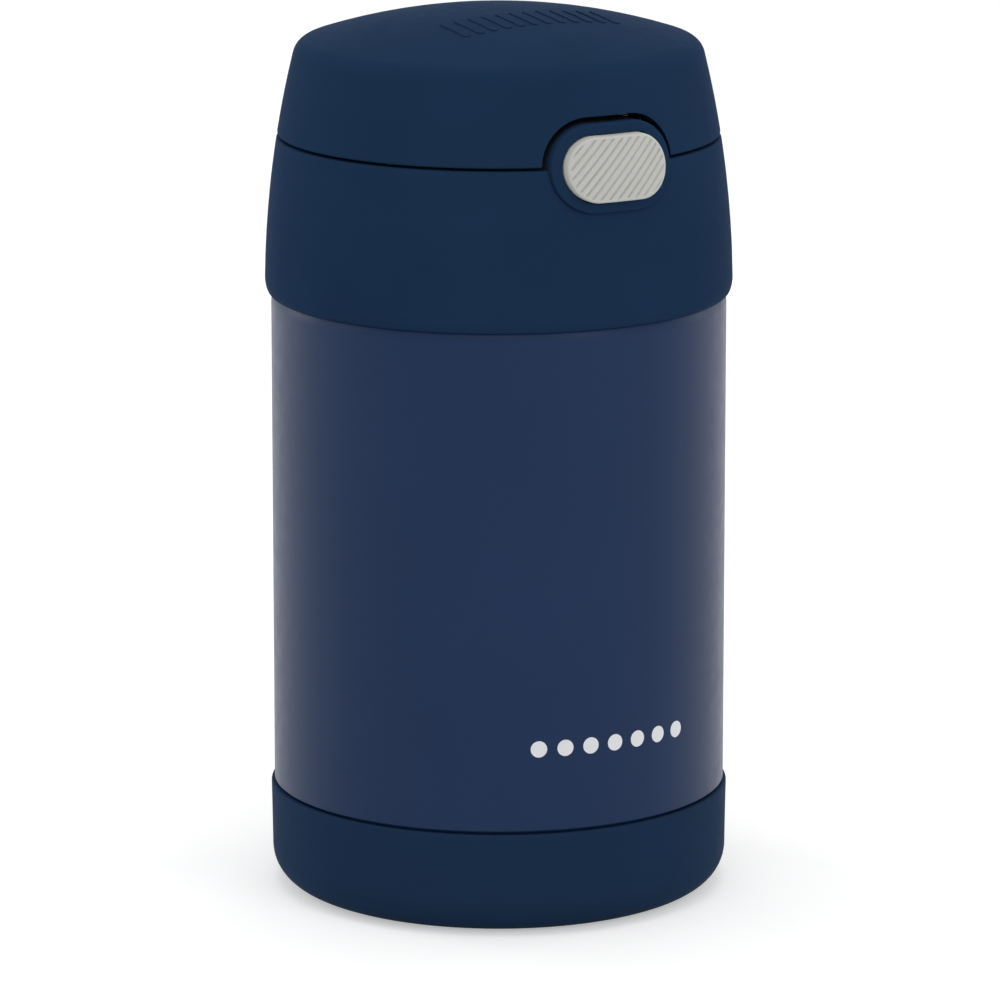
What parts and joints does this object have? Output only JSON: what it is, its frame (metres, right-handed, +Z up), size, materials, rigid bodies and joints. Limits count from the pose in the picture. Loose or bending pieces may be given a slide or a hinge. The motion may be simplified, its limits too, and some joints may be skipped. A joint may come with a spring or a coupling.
{
  "type": "insulated food jar",
  "caption": "Insulated food jar: vacuum-walled steel jar in a moulded boot, with a screw-on lid whose domed cap flips open at a push button over a folding spoon.",
  "frame": {"origin": "centre of the base, on the surface it stands on", "axes": "+Z up along the jar's axis; the push button faces -Y and the hinge +Y"},
  "size_m": [0.0906, 0.0926, 0.173],
  "materials": {
    "coated_steel": "satin",
    "vessel_steel": "brushed",
    "spoon_steel": "polished",
    "spring_steel": "satin",
    "seal_braze": "matte",
    "getter_metal": "matte",
    "boot_plastic": "matte",
    "lid_plastic": "matte",
    "liner_plastic": "satin",
    "core_plastic": "satin",
    "tray_plastic": "satin",
    "button_plastic": "matte",
    "latch_plastic": "satin",
    "gasket_silicone": "satin",
    "foam": "matte"
  },
  "bodies": {
    "jar": {"base_boot": "boot_plastic", "outer_shell": "coated_steel", "inner_vessel": "vessel_steel", "base_plate": "vessel_steel", "vacuum_seal": "seal_braze", "getter": "getter_metal"},
    "gasket": {"lid_gasket": "gasket_silicone"},
    "lid": {"lid_core": "core_plastic", "plug_cup": "core_plastic", "core_insulation": "foam", "lid_collar": "lid_plastic", "spoon_tray": "tray_plastic", "spoon_bowl": "spoon_steel", "spoon_handle": "spoon_steel", "spoon_pin": "spoon_steel", "button_bezel": "lid_plastic", "latch_housing": "latch_plastic", "button_spring": "spring_steel", "hinge_pin": "spring_steel", "hinge_spring": "spring_steel"},
    "button": {"push_button": "button_plastic", "latch_slider": "latch_plastic"},
    "cap": {"flip_cap": "lid_plastic", "cap_liner": "liner_plastic", "cap_hook": "latch_plastic"}
  },
  "joints": [
    {"name": "lid_lift", "type": "slide", "parent": "jar", "child": "gasket", "axis": [0, 0, 1], "range_m": [0, 0.06]},
    {"name": "lid_turn", "type": "hinge", "parent": "gasket", "child": "lid", "pos_m": [0, 0, 0.137], "axis": [0, 0, 1], "range_deg": [0, 360]},
    {"name": "cap_hinge", "type": "hinge", "parent": "lid", "child": "cap", "pos_m": [0, 0.04315, 0.1484], "axis": [-1, 0, 0], "range_deg": [0, 115]},
    {"name": "button_press", "type": "slide", "parent": "lid", "child": "button", "axis": [0, 1, 0], "range_m": [0, 0.0025], "stiffness_N_per_m": 400, "springref_m": -0.002, "deforming": ["button_spring"]}
  ]
}
